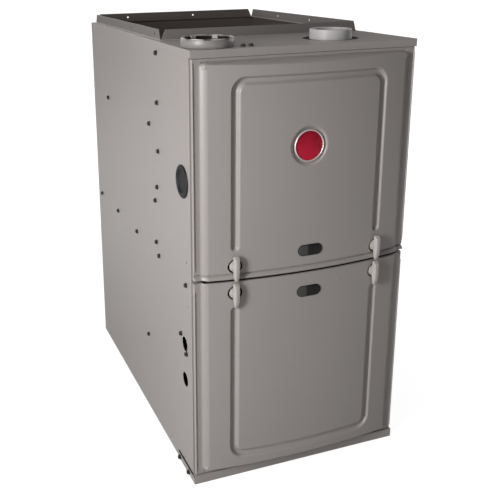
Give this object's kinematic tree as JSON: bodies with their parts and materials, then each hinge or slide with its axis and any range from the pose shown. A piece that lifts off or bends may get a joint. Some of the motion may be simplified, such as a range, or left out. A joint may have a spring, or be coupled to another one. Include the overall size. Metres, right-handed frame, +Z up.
{
  "type": "forced air gas furnace",
  "caption": "Upright condensing gas furnace: steel cabinet with bowed upper and lower front doors, turn latches, sight windows, top supply opening and pipe couplings.",
  "frame": {"origin": "middle of the cabinet's base, on the floor, at the bottom closure panel's underside", "axes": "+X to the right as seen from the front, +Y to the back, +Z up; the doors face -Y"},
  "size_m": [0.456, 0.7433, 0.862],
  "materials": {
    "cabinet_paint": "satin baked enamel",
    "galvanised": "galvanised, dull",
    "exchanger_steel": "stainless, mill finish",
    "fin_aluminium": "mill finish",
    "door_insulation": "foil-faced blanket",
    "black_rubber": "matt",
    "dark_glass": "clear, over a dark compartment",
    "latch_plastic": "fine grained",
    "bezel_chrome": "polished",
    "badge_red": "gloss, bare",
    "coupling_grey": "moulded",
    "pipe_white": "moulded",
    "black_plastic": "moulded",
    "header_plastic": "moulded",
    "screw_steel": "dark zinc",
    "black_iron": "black",
    "orifice_brass": "turned",
    "valve_body": "die cast",
    "knob_red": "moulded",
    "igniter_white": "matt insulator body, stands in for porcelain",
    "switch_white": "moulded",
    "switch_dark": "moulded",
    "plunger_orange": "moulded",
    "motor_paint": "black enamel",
    "board_green": "lacquered board",
    "transformer_iron": "varnished laminations"
  },
  "bodies": {
    "cabinet": {"side_panels": "cabinet_paint", "back_panel": "cabinet_paint", "top_plate": "cabinet_paint", "base_rail": "cabinet_paint", "base_pan": "galvanised", "bottom_closure_panel": "galvanised", "seam_rail": "galvanised", "blower_deck": "galvanised", "vestibule_panel": "galvanised", "vent_coupling": "coupling_grey", "vent_pipe": "pipe_white", "intake_coupling": "pipe_white", "intake_seal": "black_rubber", "side_hole_plug": "black_plastic", "cabinet_screws": "screw_steel", "burner_box": "galvanised", "burners": "exchanger_steel", "gas_manifold": "black_iron", "gas_orifices": "orifice_brass", "gas_valve": "valve_body", "igniter": "igniter_white", "flame_sensor": "exchanger_steel", "rollout_switches": "switch_dark", "heat_exchanger_tubes": "exchanger_steel", "hot_header": "exchanger_steel", "condensing_coil": "fin_aluminium", "cold_header": "header_plastic", "inducer_housing": "header_plastic", "inducer_motor": "motor_paint", "pressure_switch": "switch_white", "pressure_hose": "black_rubber", "condensate_trap": "switch_white", "blower_housing": "galvanised", "blower_motor": "motor_paint", "motor_bracket": "galvanised", "blower_rails": "galvanised", "control_panel": "galvanised", "control_board": "board_green", "transformer": "transformer_iron", "door_switch": "switch_white"},
    "upper_door": {"upper_door": "cabinet_paint", "upper_door_liner": "door_insulation", "upper_sight_gasket": "black_rubber", "upper_sight_glass": "dark_glass", "badge_bezel": "bezel_chrome", "badge_plate": "badge_red"},
    "lower_door": {"lower_door": "cabinet_paint", "lower_door_liner": "door_insulation", "lower_sight_gasket": "black_rubber", "lower_sight_glass": "dark_glass"},
    "latch_upper_left": {"latch_upper_left": "latch_plastic"},
    "latch_upper_right": {"latch_upper_right": "latch_plastic"},
    "latch_lower_left": {"latch_lower_left": "latch_plastic"},
    "latch_lower_right": {"latch_lower_right": "latch_plastic"},
    "blower_wheel": {"blower_wheel": "fin_aluminium"},
    "inducer_wheel": {"inducer_wheel": "fin_aluminium"},
    "gas_valve_knob": {"gas_valve_knob": "knob_red"},
    "rollout_reset_left": {"rollout_reset_left": "knob_red"},
    "rollout_reset_right": {"rollout_reset_right": "knob_red"},
    "door_switch_plunger": {"door_switch_plunger": "plunger_orange"}
  },
  "joints": [
    {"name": "upper_door_pull", "type": "slide", "parent": "cabinet", "child": "upper_door", "axis": [0, -1, 0], "range_m": [0, 0.25]},
    {"name": "lower_door_pull", "type": "slide", "parent": "cabinet", "child": "lower_door", "axis": [0, -1, 0], "range_m": [0, 0.25]},
    {"name": "latch_upper_left_turn", "type": "hinge", "parent": "upper_door", "child": "latch_upper_left", "pos_m": [-0.1465, -0.375, 0.453], "axis": [0, 1, 0], "range_deg": [0, 90]},
    {"name": "latch_upper_right_turn", "type": "hinge", "parent": "upper_door", "child": "latch_upper_right", "pos_m": [0.1465, -0.375, 0.453], "axis": [0, -1, 0], "range_deg": [0, 90]},
    {"name": "latch_lower_left_turn", "type": "hinge", "parent": "lower_door", "child": "latch_lower_left", "pos_m": [-0.1465, -0.375, 0.401], "axis": [0, 1, 0], "range_deg": [0, 90]},
    {"name": "latch_lower_right_turn", "type": "hinge", "parent": "lower_door", "child": "latch_lower_right", "pos_m": [0.1465, -0.375, 0.401], "axis": [0, -1, 0], "range_deg": [0, 90]},
    {"name": "blower_wheel_spin", "type": "hinge", "parent": "cabinet", "child": "blower_wheel", "pos_m": [0, 0.04, 0.212], "axis": [1, 0, 0], "continuous": true},
    {"name": "inducer_wheel_spin", "type": "hinge", "parent": "cabinet", "child": "inducer_wheel", "pos_m": [-0.02, -0.222, 0.539], "axis": [0, 1, 0], "continuous": true},
    {"name": "gas_valve_knob_turn", "type": "hinge", "parent": "cabinet", "child": "gas_valve_knob", "pos_m": [0.166, -0.34, 0.618], "axis": [0, 1, 0], "range_deg": [0, 90]},
    {"name": "rollout_reset_left_press", "type": "slide", "parent": "cabinet", "child": "rollout_reset_left", "axis": [0, 1, 0], "range_m": [0, 0.002], "stiffness_N_per_m": 400},
    {"name": "rollout_reset_right_press", "type": "slide", "parent": "cabinet", "child": "rollout_reset_right", "axis": [0, 1, 0], "range_m": [0, 0.002], "stiffness_N_per_m": 400},
    {"name": "door_switch_plunger_press", "type": "slide", "parent": "cabinet", "child": "door_switch_plunger", "axis": [0, 1, 0], "range_m": [0, 0.004], "stiffness_N_per_m": 300}
  ]
}
